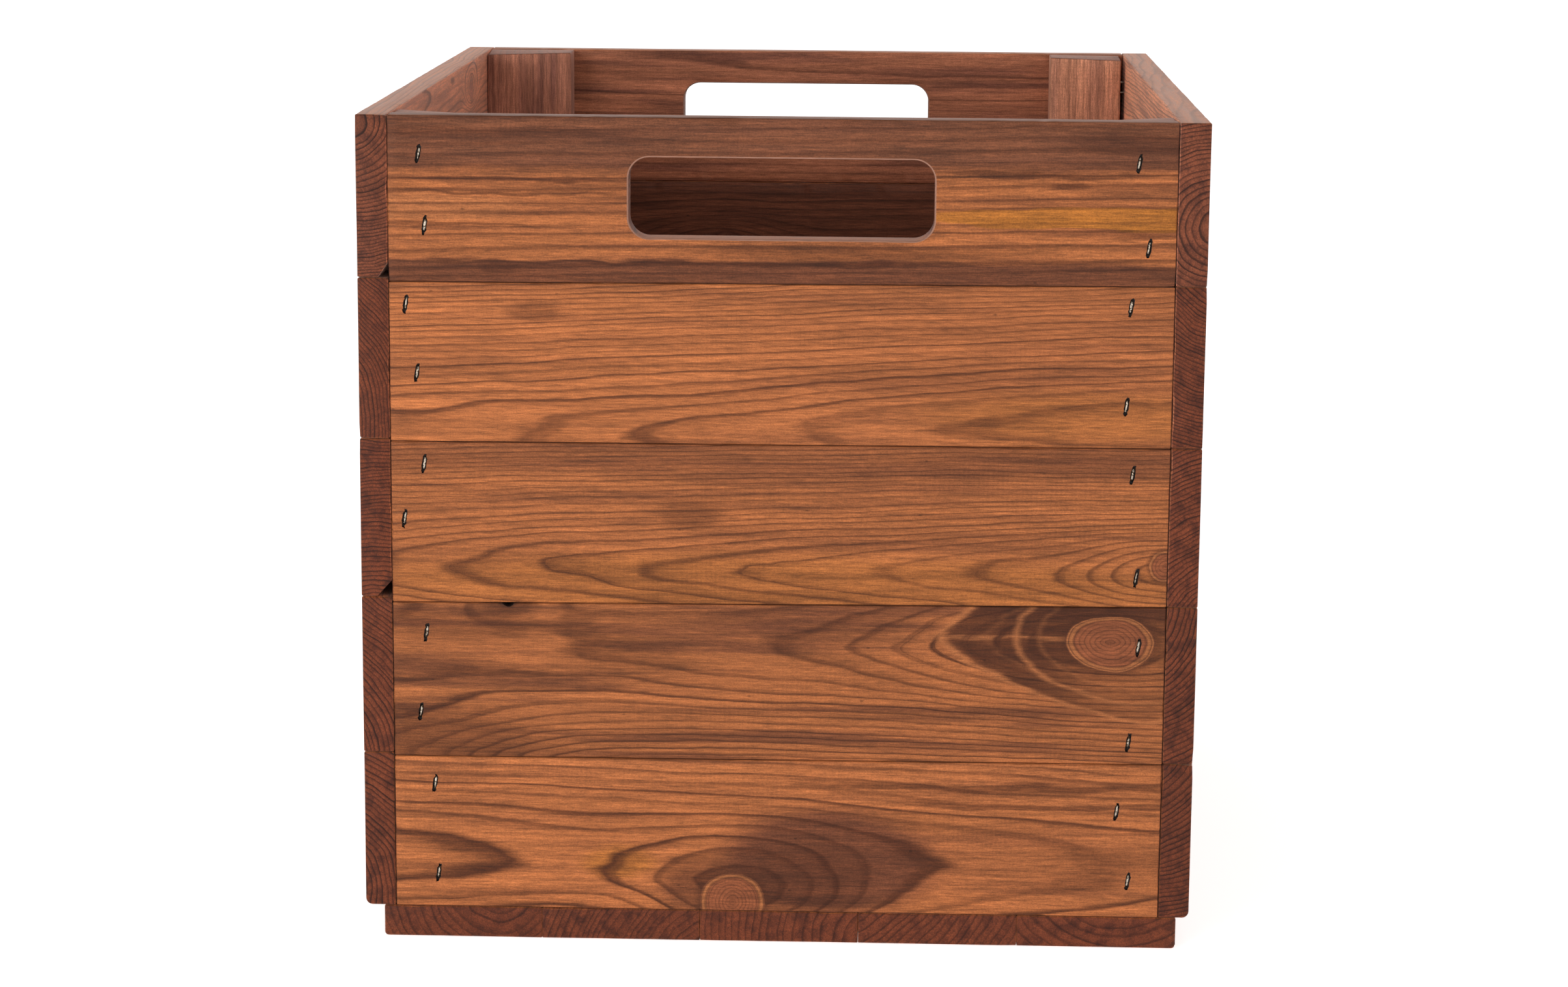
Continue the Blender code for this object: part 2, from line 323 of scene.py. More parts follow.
def new_material(name):
    material = bpy.data.materials.new(name)
    material.use_nodes = True
    material.node_tree.nodes.clear()
    return material, material.node_tree


def rgba(colour):
    return (*colour, 1.0)


def streaks(tree, board, length, width, seed, detail=2.0):
    """Noise drawn out along the grain, with features of that length and width in mm."""
    drawn = add(tree, "Mapping", board, (seed, seed * 1.7, seed * 0.6), None, (1 / length, 1 / width, 1 / width))
    return add(tree, "TexNoise", drawn, 1.0, detail, 0.55)


def wandering(tree, board, length, width, amount, seed):
    """The board's coordinates pushed about across the grain, as the fibres of a tree wander."""
    centred = add(tree, "VectorMath", streaks(tree, board, length, width, seed).outputs["Color"], (0.5, 0.5, 0.5),
                  operation="SUBTRACT")
    push = add(tree, "VectorMath", centred, (0.0, amount, amount), operation="MULTIPLY")
    return add(tree, "VectorMath", board, push, operation="ADD")


def reach_of(tree, board, x, z, length, height, roundness=2.0):
    """How far out from the middle of an oval on the board's face a point is: 1 on its edge.

    A roundness of 2 makes an ellipse, and less of it a shape with pointed ends.
    """
    drawn = add(tree, "Mapping", board, (-x / length, 0.0, -z / height), None, (1 / length, 0.0, 1 / height))
    if roundness == 2.0:
        return add(tree, "VectorMath", drawn, operation="LENGTH")
    sides = add(tree, "SeparateXYZ", add(tree, "VectorMath", drawn, operation="ABSOLUTE"))
    powers = [add(tree, "Math", sides.outputs[axis], roundness, operation="POWER") for axis in ("X", "Z")]
    return add(tree, "Math", add(tree, "Math", *powers), 1 / roundness, operation="POWER")


def year_rings(tree, wavy, timber):
    """How many rings lie between the pith and a point, bent around the knots."""
    direction = Vector((1.0, *timber.slope)).rotation_difference(Vector((1.0, 0.0, 0.0)))
    pith = direction @ Vector((0.0, *timber.pith))
    stem = add(tree, "Mapping", wavy, -pith, direction.to_euler())
    across = add(tree, "VectorMath", stem, (0.0, 1.0, 1.0), operation="MULTIPLY")
    radius = add(tree, "VectorMath", across, operation="LENGTH")
    # A ring is timber.ring wide at 50 mm from the pith, and wider nearer to it.
    share = add(tree, "Math", radius, 50.0, operation="DIVIDE")
    grown = add(tree, "Math", share, timber.growth, operation="POWER")
    age = add(tree, "Math", grown, 50.0 / (timber.growth * timber.ring), timber.phase, operation="MULTIPLY_ADD")
    # Good and bad years make rings wider and narrower.
    season = add(tree, "Math", radius, 0.11, timber.seed, operation="MULTIPLY_ADD")
    years = add(tree, "TexNoise", season, 1.0, 2.0, noise_dimensions="1D")
    age = add(tree, "Math", years, 1.2, age, operation="MULTIPLY_ADD")
    for knot in timber.knots:
        far = reach_of(tree, wavy, knot.x + knot.shift, knot.z, *knot.reach)
        square = add(tree, "Math", far, 2.0, operation="POWER")
        fall = add(tree, "Math", square, -1.0, operation="MULTIPLY")
        pull = add(tree, "Math", fall, operation="EXPONENT")
        age = add(tree, "Math", pull, -knot.pull, age, operation="MULTIPLY_ADD")
    return age


def knot_wood(tree, knot, reach, dark, stain):
    """Colour inside a knot: dull red-brown rings, a paler band near the rim and a dark line around it."""
    bark, core, rim = (Vector(colour) for colour in (stain.bark, stain.knot, stain.knot_rim))
    rim = rim.lerp(bark, knot.loose)
    body = core.lerp(bark, knot.loose)
    shades = add(tree, "ValToRGB", reach)
    spots = shades.color_ramp.elements
    spots[0].color = rgba(body * 0.62)
    spots[1].color = rgba(core.lerp(bark, 0.5 + 0.5 * knot.loose))
    for spot, shade in ((0.2, body), (0.76, body), (0.81, body * 0.6), (0.86, rim * 0.78), (0.97, rim * 0.78)):
        spots.new(spot).color = rgba(shade)
    lined = add(tree, "Math", dark, 0.9, operation="MULTIPLY")
    return add(tree, "Mix", lined, shades, rgba(core * 0.4), data_type="RGBA")


def painted(tree, board, colour, patch):
    """The colour with a patch's stain mixed in."""
    reach = reach_of(tree, board, patch.x, patch.z, patch.length, patch.height, patch.roundness)
    if patch.band:
        reach = add(tree, "Math", reach, 1.0, operation="SUBTRACT")
        reach = add(tree, "Math", reach, operation="ABSOLUTE")
    edge = patch.band or 1.0
    mask = add(tree, "MapRange", reach, edge + patch.softness / 2, edge - patch.softness / 2, 0.0, patch.strength,
               interpolation_type="SMOOTHSTEP")
    shade = getattr(bpy.context.scene.crate_stain, patch.colour)
    return add(tree, "Mix", mask, colour, rgba(shade), data_type="RGBA")


def stained_pine(name, wall, centre, timber):
    """Sawn pine under thin brown stain: dark year lines over orange wood, duller and darker on end grain."""
    stain = bpy.context.scene.crate_stain
    turn = TURNS[wall]
    seed = timber.seed
    material, tree = new_material(name)
    world = add(tree, "TexCoord").outputs["Object"]
    board = add(tree, "Mapping", world, -(turn @ centre) / MM, turn.to_euler(), (1 / MM,) * 3)
    wavy = wandering(tree, board, 120.0, 26.0, 5.0, seed)
    wavy = wandering(tree, wavy, 18.0, 5.0, 0.7, seed + 3.0)
    age = year_rings(tree, wavy, timber)

    branches = []
    for knot in timber.knots:
        lumpy = wandering(tree, wavy, 14.0, 7.0, 2.5, seed + 41.0)
        reach = reach_of(tree, lumpy, knot.x, knot.z, knot.radius * knot.stretch, knot.radius)
        inside = add(tree, "MapRange", reach, 1.03, 0.97, interpolation_type="SMOOTHSTEP")
        branch_age = add(tree, "Math", reach, knot.radius / 1.3, operation="MULTIPLY")
        age = add(tree, "Mix", inside, age, branch_age, data_type="FLOAT")
        branches.append((knot, reach, inside))

    # Within a ring the wood darkens slowly, then ends sharply. Some years left a bolder line than others.
    part = add(tree, "Math", age, operation="FRACT")
    year = add(tree, "Math", age, seed, operation="ADD")
    year = add(tree, "Math", year, operation="FLOOR")
    boldness = add(tree, "MapRange", add(tree, "TexWhiteNoise", year, noise_dimensions="1D"), 0.0, 1.0, 0.5, 1.05)
    line = add(tree, "ValToRGB", part)
    line.color_ramp.interpolation = "EASE"
    spots = line.color_ramp.elements
    spots[0].color = (0.45, 0.45, 0.45, 1.0)
    spots[1].color = (0.6, 0.6, 0.6, 1.0)
    for spot, value in ((0.07, 0.03), (0.42, 0.04), (0.68, 0.25), (0.84, 0.85), (0.93, 1.0)):
        spots.new(spot).color = (value, value, value, 1.0)
    dark = add(tree, "Math", line, boldness, operation="MULTIPLY")
    dark = add(tree, "Math", dark, 0.9 * timber.contrast, operation="MULTIPLY", use_clamp=True)

    uptake = streaks(tree, board, 110.0, 5.0, seed + 7.0, 4.0)
    uptake = add(tree, "MapRange", uptake, 0.46, 0.66, 0.0, timber.heart, interpolation_type="SMOOTHSTEP")
    colour = add(tree, "Mix", uptake, rgba(stain.earlywood), rgba(stain.heartwood), data_type="RGBA")

    ragged = wandering(tree, board, 30.0, 4.0, 6.0, seed + 11.0)
    for patch in timber.patches:
        if not patch.band:
            colour = painted(tree, ragged, colour, patch)
    colour = add(tree, "Mix", dark, colour, rgba(stain.latewood), data_type="RGBA")
    for patch in timber.patches:
        if patch.band:
            colour = painted(tree, ragged, colour, patch)

    for knot, reach, inside in branches:
        halo = add(tree, "MapRange", reach, 1.0, 1.28, 0.5, 0.0, interpolation_type="SMOOTHSTEP")
        colour = add(tree, "Mix", halo, colour, rgba(stain.latewood), data_type="RGBA")
        wood = knot_wood(tree, knot, reach, dark, stain)
        colour = add(tree, "Mix", inside, colour, wood, data_type="RGBA")

    # Fibres are a few hundredths of a millimetre wide: these are drawn coarser, so that they show.
    drifts = streaks(tree, board, 70.0, 5.0, seed + 13.0, 3.0)
    threads = streaks(tree, board, 22.0, 0.9, seed + 17.0, 4.0)
    fibres = streaks(tree, board, 5.0, 0.4, seed + 23.0, 3.0)
    pores = streaks(tree, board, 0.5, 0.4, seed + 29.0, 2.0)
    # Resin canals are dark specks a couple of centimetres apart.
    cells = add(tree, "Mapping", board, (seed, 0.0, seed), None, (0.05, 0.0, 0.09))
    speck = add(tree, "MapRange", add(tree, "TexVoronoi", cells, 1.0), 0.022, 0.05, 0.55, 1.0)
    # The planer left a faint ripple every 1.9 mm along the board, plainer in some places than in others.
    ripple = add(tree, "TexWave", board, 0.165, bands_direction="X")
    planed = add(tree, "MapRange", streaks(tree, board, 60.0, 20.0, seed + 31.0), 0.45, 0.65, 0.0, 0.07)
    ripple = add(tree, "Math", add(tree, "Math", ripple, 0.5, operation="SUBTRACT"), planed, 1.0,
                 operation="MULTIPLY_ADD")
    lights = speck
    for pattern, depth in ((drifts, 0.24), (threads, 0.33), (fibres, 0.34), (pores, 0.26)):
        light = add(tree, "MapRange", pattern, 0.25, 0.75, 1.0 - depth, 1.0 + depth)
        lights = add(tree, "Math", lights, light, operation="MULTIPLY")
    lights = add(tree, "Math", lights, ripple, operation="MULTIPLY")
    face = add(tree, "VectorMath", colour, lights, operation="SCALE")
    face = add(tree, "VectorMath", face, timber.tint, operation="MULTIPLY")

    # The faces that look into the crate get their own colour factor: painted light and a painted pinkish sheen on
    # the side boards and the top back board, painted shade on the lower back boards.
    normal = add(tree, "NewGeometry").outputs["True Normal"]
    facing = add(tree, "VectorMath", normal, turn.transposed() @ Vector((0.0, 1.0, 0.0)), operation="DOT_PRODUCT")
    inward = add(tree, "MapRange", facing, 0.5, 0.8, interpolation_type="SMOOTHSTEP")
    inner_painted_light = add(tree, "VectorMath", face, timber.inside, operation="MULTIPLY")
    face = add(tree, "Mix", inward, face, inner_painted_light, data_type="RGBA")

    # End grain drinks more stain, so it is darker and less orange, most of all in the dark lines.
    along = add(tree, "VectorMath", normal, turn.transposed() @ Vector((1.0, 0.0, 0.0)), operation="DOT_PRODUCT")
    along = add(tree, "Math", along, operation="ABSOLUTE")
    ends = add(tree, "MapRange", along, 0.45, 0.8, interpolation_type="SMOOTHSTEP")
    soaked = add(tree, "Math", dark, -0.65, 1.3, operation="MULTIPLY_ADD")
    end_grain = add(tree, "VectorMath", face, timber.ends, operation="MULTIPLY")
    end_grain = add(tree, "VectorMath", end_grain, soaked, operation="SCALE")
    colour = add(tree, "Mix", ends, face, end_grain, data_type="RGBA")

    height = add(tree, "Math", fibres, 0.6, threads, operation="MULTIPLY_ADD")
    height = add(tree, "Math", dark, 0.35, height, operation="MULTIPLY_ADD")
    bump = add(tree, "Bump", sockets={"Strength": 0.35, "Distance": 0.25 * MM, "Height": height})
    roughness = add(tree, "MapRange", threads, 0.3, 0.7, 0.5, 0.66)
    shader = add(tree, "BsdfPrincipled", sockets={
        "Base Color": colour, "Roughness": roughness, "Specular IOR Level": 0.16, "Normal": bump,
        "Sheen Weight": timber.fuzz, "Sheen Roughness": 0.4, "Sheen Tint": rgba(linear("#f2c8b6")),
    })
    add(tree, "OutputMaterial", shader)
    return material


def bare_wood(name, code, seed):
    """Pine cut across after staining, or the near-black painted shade inside dents and the knot hole: no plain
    rings, only short fibres, and duller than a planed face.
    """
    material, tree = new_material(name)
    world = add(tree, "TexCoord").outputs["Object"]
    point = add(tree, "Mapping", world, None, None, (1 / MM,) * 3)
    fibres = streaks(tree, point, 5.0, 0.5, seed, 3.0)
    light = add(tree, "MapRange", fibres, 0.3, 0.7, 0.75, 1.15)
    colour = add(tree, "VectorMath", tuple(code), light, operation="SCALE")
    bump = add(tree, "Bump", sockets={"Strength": 0.4, "Distance": 0.2 * MM, "Height": fibres})
    roughness = add(tree, "MapRange", fibres, 0.3, 0.7, 0.55, 0.7)
    shader = add(tree, "BsdfPrincipled", sockets={"Base Color": colour, "Roughness": roughness, "Normal": bump})
    add(tree, "OutputMaterial", shader)
    return material


def galvanised_steel():
    """Drawn steel wire with a thin zinc coat: warm grey, scuffed by the driver, with stain left in the hollows."""
    material, tree = new_material("drawn_galvanised_steel")
    world = add(tree, "TexCoord").outputs["Object"]
    point = add(tree, "Mapping", world, None, None, (1 / MM,) * 3)
    scuffs = add(tree, "TexNoise", point, 1.4, 3.0)
    stained = add(tree, "MapRange", scuffs, 0.46, 0.62, interpolation_type="SMOOTHSTEP")
    colour = add(tree, "Mix", stained, rgba(linear("#bdb0a0")), rgba(linear("#54412f")), data_type="RGBA")
    bump = add(tree, "Bump", sockets={"Strength": 0.3, "Distance": 0.1 * MM, "Height": scuffs})
    roughness = add(tree, "MapRange", scuffs, 0.3, 0.7, 0.28, 0.5)
    shader = add(tree, "BsdfPrincipled", sockets={
        "Base Color": colour, "Metallic": 1.0, "Roughness": roughness, "Normal": bump,
    })
    add(tree, "OutputMaterial", shader)
    return material


def shared(name, make, *values):
    """A material that several pieces use, made the first time that it is asked for."""
    return bpy.data.materials.get(name) or make(*values)


# ---------------------------------------------------------------- boards


def corner_heights(node, level):
    """The z of a CAD board's top and bottom at each corner. A level board is as high inside as outside."""
    low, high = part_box(node)
    verts = [vert.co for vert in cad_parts[node].data.vertices]
    tops, bottoms = {}, {}
    near = 0.8 * MM
    for corner in ((0, 0), (0, 1), (1, 0), (1, 1)):
        spot = [(low, high)[corner[axis]][axis] for axis in (0, 1)]
        axes = [axis for axis in (0, 1) if axis != level]
        heights = [co.z for co in verts if all(abs(co[axis] - spot[axis]) < near for axis in axes)]
        tops[corner], bottoms[corner] = max(heights), min(heights)
    return tops, bottoms


def refined_timber(node, grain, level):
    """A bmesh of a CAD board with rounded edges, an even mesh, worn arrises and slightly wavy faces."""
    sizes = bpy.context.scene.crate_sizes
    low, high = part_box(node)
    if "bottom" in node:
        # Neighbours were driven tight together, so no light shows between them.
        low.x, high.x = low.x - 0.15 * MM, high.x + 0.15 * MM
    tops, bottoms = corner_heights(node, level)
    bm = bmesh.new()
    bmesh.ops.create_cube(bm, size=2.0)
    for vert in bm.verts:
        corner = (int(vert.co.x > 0), int(vert.co.y > 0))
        z = tops[corner] if vert.co.z > 0 else bottoms[corner]
        vert.co = ((low, high)[corner[0]].x, (low, high)[corner[1]].y, z)
    if node.endswith(("side_board_5", "bottom_board_1", "bottom_board_5")):
        worn = sizes.worn_corner if "side" in node else sizes.worn_corner * 0.6
        outer = [edge for edge in bm.edges if runs_along(edge, grain) and all(
            abs(vert.co.x) > abs(low.x + high.x) / 2 and vert.co.z < (low.z + high.z) / 2 for vert in edge.verts
        )]
        bmesh.ops.bevel(
            bm, geom=outer, offset=worn, segments=5, profile=0.5, affect="EDGES", material=-1
        )
    sharp = [edge for edge in bm.edges if edge.calc_face_angle() > math.radians(50)]
    bmesh.ops.bevel(bm, geom=sharp, offset=sizes.edge, segments=3, profile=0.5, affect="EDGES", material=-1)
    for axis in range(3):
        spacing = sizes.mesh if axis == grain else sizes.mesh * 1.4
        edges = [edge for edge in bm.edges if edge.calc_length() > spacing * 1.5 and runs_along(edge, axis)]
        if edges:
            cuts = round(edges[0].calc_length() / spacing) - 1
            bmesh.ops.subdivide_edges(bm, edges=edges, cuts=cuts, use_grid_fill=True)
    wear(bm, sum(ord(letter) for letter in node))
    return bm


def runs_along(edge, axis):
    run = edge.verts[1].co - edge.verts[0].co
    return abs(run[axis]) > 0.98 * run.length


def wear(bm, seed):
    """Waves on the sawn faces, and small chips along the rounded edges."""
    offset = Vector((seed * 0.37, seed * 0.11, seed * 0.23))
    bm.normal_update()
    moves = []
    for vert in bm.verts:
        move = noise.noise(vert.co * 22 + offset) * 0.10 * MM
        if max(abs(part) for part in vert.normal) < 0.985:
            chip = noise.noise(vert.co * 190 + offset) + 0.5 * noise.noise(vert.co * 520 + offset)
            move -= max(0.0, chip - 0.18) * 0.9 * MM
        moves.append(vert.normal * move)
    for vert, move in zip(bm.verts, moves):
        vert.co += move


def carve(obj, cutter):
    """Takes the cutter's bmesh out of obj's mesh. The new faces keep the cutter's material number."""
    bmesh.ops.recalc_face_normals(cutter, faces=cutter.faces)
    mesh = bpy.data.meshes.new("cutter")
    cutter.to_mesh(mesh)
    cutter.free()
    for material in obj.data.materials:
        mesh.materials.append(material)
    tool = bpy.data.objects.new("cutter", mesh)
    bpy.context.scene.collection.objects.link(tool)
    modifier = obj.modifiers.new("carve", "BOOLEAN")
    modifier.operation = "DIFFERENCE"
    modifier.solver = "EXACT"
    modifier.object = tool
    bpy.context.view_layer.update()
    carved = bpy.data.meshes.new_from_object(obj.evaluated_get(bpy.context.evaluated_depsgraph_get()))
    obj.modifiers.clear()
    worked = obj.data
    obj.data = carved
    bpy.data.meshes.remove(worked)
    bpy.data.objects.remove(tool)


def slot_cutter(centre):
    """A hand slot: a rounded oblong whose mouths flare at both faces, so that its edge comes out rounded."""
    sizes = bpy.context.scene.crate_sizes
    low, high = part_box("front_handle_board")
    face = (high.y - low.y) / 2
    steps = 4
    bm = bmesh.new()
    bmesh.ops.create_cube(bm, size=1.0)
    bmesh.ops.scale(bm, vec=(sizes.slot_width, face * 2 + 4 * MM, sizes.slot_height), verts=bm.verts)
    corners = [edge for edge in bm.edges if runs_along(edge, ALONG_Y)]
    bmesh.ops.bevel(
        bm, geom=corners, offset=sizes.slot_corner, segments=10, profile=0.5, affect="EDGES", material=-1
    )
    for side in (-1, 1):
        for step in range(steps + 1):
            depth = face - sizes.slot_edge * step / steps
            bmesh.ops.bisect_plane(
                bm, geom=bm.verts[:] + bm.edges[:] + bm.faces[:], plane_co=(0, side * depth, 0), plane_no=(0, 1, 0)
            )
    bm.normal_update()
    for vert in bm.verts:
        into = min(abs(vert.co.y), face) - (face - sizes.slot_edge)
        if into > 0:
            flare = sizes.slot_edge - math.sqrt(max(0.0, sizes.slot_edge ** 2 - into ** 2))
            vert.co += Vector((vert.normal.x, 0.0, vert.normal.z)).normalized() * flare
    for part in bm.faces:
        part.material_index = BARE if abs(part.calc_center_median().y) > face - sizes.slot_edge else PINE
    bmesh.ops.translate(bm, vec=centre, verts=bm.verts)
    return bm


def wane_cutter(number, width, height, length):
    """The bark edge of a log, left along a board's lower inner edge and fading out towards the back."""
    low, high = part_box(f"left_side_board_{number}")
    run = math.hypot(width, height)
    bm = bmesh.new()
    bmesh.ops.create_cube(bm, size=1.0, matrix=Matrix.Translation((0.5, 0.5, 0.0)))
    bmesh.ops.scale(bm, vec=(run * 4, 0.4, 0.4), verts=bm.verts)
    lean = Matrix.Rotation(math.atan2(width, height), 4, "Y") @ Matrix.Rotation(math.pi / 2, 4, "X")
    taper = Matrix.Rotation(-math.atan2(width * height / run, length), 4, "Y")
    deepest = Matrix.Translation((high.x - width, low.y, low.z))
    bm.transform(deepest @ lean @ taper @ Matrix.Translation((0.0, -0.1, 0.0)))
    return bm


def knot_hole_cutter():
    """The hole of a knot that fell out of the fourth front board, at its upper edge."""
    low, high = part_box("front_board_4")
    spot = Matrix.Translation((-107.0 * MM, low.y, high.z - 0.3 * MM)) @ Matrix.Rotation(math.pi / 2, 4, "X")
    bm = bmesh.new()
    bmesh.ops.create_cone(
        bm, cap_ends=True, segments=20, radius1=2.4 * MM, radius2=3.4 * MM, depth=14 * MM, matrix=spot
    )
    for vert in bm.verts:
        vert.co += noise.noise_vector(vert.co * 400) * 0.5 * MM
    # The hole's walls take the near-black painted shade.
    for part in bm.faces:
        part.material_index = HOLLOW_SHADE
    return bm


def joined(parts):
    """Several bmeshes as one."""
    whole = bmesh.new()
    for part in parts:
        mesh = bpy.data.meshes.new("part")
        part.to_mesh(mesh)
        part.free()
        whole.from_mesh(mesh)
        bpy.data.meshes.remove(mesh)
    return whole


def dent(place, seed):
    """The ragged slot that a driven staple tears: deepest in the middle, tapering to its ends."""
    sizes = bpy.context.scene.crate_sizes
    bm = bmesh.new()
    bmesh.ops.create_cube(bm, size=1.0)
    bmesh.ops.scale(bm, vec=(1.8 * MM, 3.4 * MM, sizes.crown + 1.5 * MM), verts=bm.verts)
    bmesh.ops.subdivide_edges(bm, edges=bm.edges[:], cuts=7, use_grid_fill=True)
    half = sizes.crown / 2 + 0.75 * MM
    for vert in bm.verts:
        ragged = noise.noise(Vector((math.copysign(seed + 3.1, vert.co.x), vert.co.y * 300, vert.co.z * 900)))
        vert.co.x *= 1.0 - 0.5 * abs(vert.co.z / half) ** 3 + 0.6 * ragged
        vert.co.z *= 1.0 + 0.12 * noise.noise(Vector((seed * 1.7, vert.co.x * 900, math.copysign(4.0, vert.co.z))))
    bm.transform(place)
    # The dent's faces take the near-black painted shade.
    for part in bm.faces:
        part.material_index = HOLLOW_SHADE
    return bm


def staple_wire(place, seed):
    """A U of round wire, its crown flattened by the driver. Its legs run along the place's +Y."""
    sizes = bpy.context.scene.crate_sizes
    pick = random.Random(seed)
    radius = sizes.wire / 2
    bend = sizes.wire * 1.1
    half = sizes.crown / 2 - radius
    front = sizes.sink + radius + pick.uniform(-0.2, 0.3) * MM
    bm = bmesh.new()
    tip = Matrix.Translation((0, sizes.leg, -half)) @ Matrix.Rotation(math.pi / 2, 4, "X")
    bmesh.ops.create_circle(bm, cap_ends=True, segments=8, radius=radius, matrix=tip)
    end = bm.faces[:]
    end = extruded(bm, end, (0, front + bend - sizes.leg, 0))
    for side in (-1, 1):
        turned = bmesh.ops.spin(
            bm, geom=whole_faces(end), cent=(0, front + bend, side * (half - bend)), axis=(1, 0, 0),
            angle=-math.pi / 2, steps=3,
        )
        end = [part for part in turned["geom_last"] if isinstance(part, bmesh.types.BMFace)]
        way = (0, 0, 2 * (half - bend)) if side < 0 else (0, sizes.leg - front - bend, 0)
        end = extruded(bm, end, way)
    for vert in bm.verts:
        if vert.co.y < front + radius:
            vert.co.y = front + (vert.co.y - front) * 0.8
            vert.co.x += pick.uniform(-0.06, 0.06) * MM
    bmesh.ops.recalc_face_normals(bm, faces=bm.faces)
    bm.transform(place)
    return bm


def whole_faces(faces):
    edges = {edge for part in faces for edge in part.edges}
    verts = {vert for part in faces for vert in part.verts}
    return [*faces, *edges, *verts]


def extruded(bm, faces, way):
    """Extrudes faces along way and gives the new end faces."""
    grown = bmesh.ops.extrude_face_region(bm, geom=whole_faces(faces))["geom"]
    bmesh.ops.translate(bm, vec=way, verts=[part for part in grown if isinstance(part, bmesh.types.BMVert)])
    return [part for part in grown if isinstance(part, bmesh.types.BMFace)]


def piece(name, bm, slot, materials, *nodes):
    """Puts a bmesh in the scene as a finished piece that rides on the crate and stands for CAD nodes."""
    mesh = bpy.data.meshes.new(name)
    bm.to_mesh(mesh)
    bm.free()
    for material in materials:
        mesh.materials.append(material)
    obj = bpy.data.objects.new(name, mesh)
    bpy.context.scene.collection.objects.link(obj)
    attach(obj, BODY)
    if nodes:
        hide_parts(*nodes)
    return obj


def smooth(obj):
    obj.data.shade_smooth()
    obj.data.set_sharp_from_angle(angle=math.radians(40))


# The materials of every board, in order.
PINE, BARE, HOLLOW_SHADE = range(3)


def board_piece(node, wall, slot, timber, cutters):
    """Replaces a CAD board with a refined one, cut by each of the cutters."""
    low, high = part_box(node)
    stain = bpy.context.scene.crate_stain
    level = {"front": ALONG_Y, "back": ALONG_Y, "left": ALONG_X, "right": ALONG_X, "bottom": ALONG_X}.get(wall)
    materials = [
        stained_pine(f"stained_sawn_pine_{node}", wall, (low + high) / 2, timber),
        shared("cut_pine", bare_wood, "cut_pine", stain.bare, 3.0),
        shared("torn_pine", bare_wood, "torn_pine", stain.torn, 8.0),
    ]
    obj = piece(node + "_timber", refined_timber(node, GRAIN_AXES[wall], level), slot, materials, node)
    for cutter in cutters:
        carve(obj, cutter)
    smooth(obj)
    return obj


# ---------------------------------------------------------------- staples

WALL_STAPLE_LEAN = math.radians(9)


def staple_places(wall):
    """Where each staple of a wall sits: its +Y runs into the wood and its crown lies along +Z."""
    low, high = cad_bounds
    places = []
    if wall in ("front", "back"):
        for side in ("left", "right"):
            for number in range(1, 11):
                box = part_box(f"front_staple_{side}_{number:02d}")
                middle = (box[0] + box[1]) / 2
                lean = Matrix.Rotation(WALL_STAPLE_LEAN, 4, "Y")
                place = Matrix.Translation((middle.x, low.y, middle.z)) @ lean
                if wall == "back":
                    place = Matrix.Rotation(math.pi, 4, "Z") @ place
                places.append(place)
        return places
    pick = random.Random(wall)
    into = {"left": -math.pi / 2, "right": math.pi / 2}
    for number in range(1, 6):
        for end in (-1, 1):
            for side in (-1, 1):
                lean = Matrix.Rotation(math.radians(pick.uniform(-14, 14)), 4, "Y")
                if wall == "bottom":
                    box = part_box(f"bottom_board_{number}")
                    middle = (box[0] + box[1]) / 2
                    spot = (middle.x + side * 18 * MM, end * (high.y - 6 * MM), low.z)
                    turn = Matrix.Rotation(math.pi / 2, 4, "X") @ Matrix.Rotation(math.pi / 2, 4, "Y")
                else:
                    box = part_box(f"{wall}_side_board_{number}")
                    middle = (box[0] + box[1]) / 2
                    reach = high.y - (22 + pick.uniform(-3, 3)) * MM
                    x = box[0].x if wall == "left" else box[1].x
                    spot = (x, end * reach, middle.z + side * (17 + pick.uniform(-4, 4)) * MM)
                    turn = Matrix.Rotation(into[wall], 4, "Z")
                places.append(Matrix.Translation(spot) @ turn @ lean)
    return places


def dents_on(wall, node):
    """One cutter with the dents of every staple that goes through a board."""
    low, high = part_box(node)
    across = ALONG_X if wall == "bottom" else ALONG_Z
    mine = [
        dent(place, index) for index, place in enumerate(staple_places(wall))
        if low[across] < place.translation[across] < high[across]
    ]
    return joined(mine)


# ---------------------------------------------------------------- operators


def report_done(operator, text):
    operator.report({"INFO"}, text)
    return {"FINISHED"}


def handle_cutter(node):
    low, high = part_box(node)
    sizes = bpy.context.scene.crate_sizes
    middle = (low + high) / 2
    return slot_cutter((0.0, middle.y, RIM - sizes.slot_drop - sizes.slot_height / 2))


class CrateFrontBoards(bpy.types.Operator):
    """Builds the five front boards, with the hand slot in the top one"""

    bl_idname = "crate.front_boards"
    bl_label = "Front Boards"

    def execute(self, context):
        names = ["front_handle_board"] + [f"front_board_{number}" for number in range(2, 6)]
        for node, timber in zip(names, FRONT_TIMBER):
            cutters = [dents_on("front", node)]
            if node == "front_handle_board":
                cutters.insert(0, handle_cutter(node))
            if node == "front_board_4":
                cutters.insert(0, knot_hole_cutter())
            board_piece(node, "front", "end_boards", timber, cutters)
        return report_done(self, "Front boards built")


class CrateBackBoards(bpy.types.Operator):
    """Builds the five back boards, with the hand slot in the top one"""

    bl_idname = "crate.back_boards"
    bl_label = "Back Boards"

    def execute(self, context):
        names = ["back_handle_board"] + [f"back_board_{number}" for number in range(2, 6)]
        for index, node in enumerate(names):
            cutters = [dents_on("back", node)]
            if node == "back_handle_board":
                cutters.insert(0, handle_cutter(node))
            # Inside, the lower boards are darkened as painted shade deep in the crate, and the top one is paler and
            # bluer as a painted pinkish sheen.
            inside = (0.4, 0.4, 0.62) if index else (1.05, 1.17, 1.9)
            timber = any_timber(20 + index)._replace(contrast=0.7, tint=(0.9, 0.9, 0.9), inside=inside)
            board_piece(node, "back", "end_boards", timber, cutters)
        return report_done(self, "Back boards built")


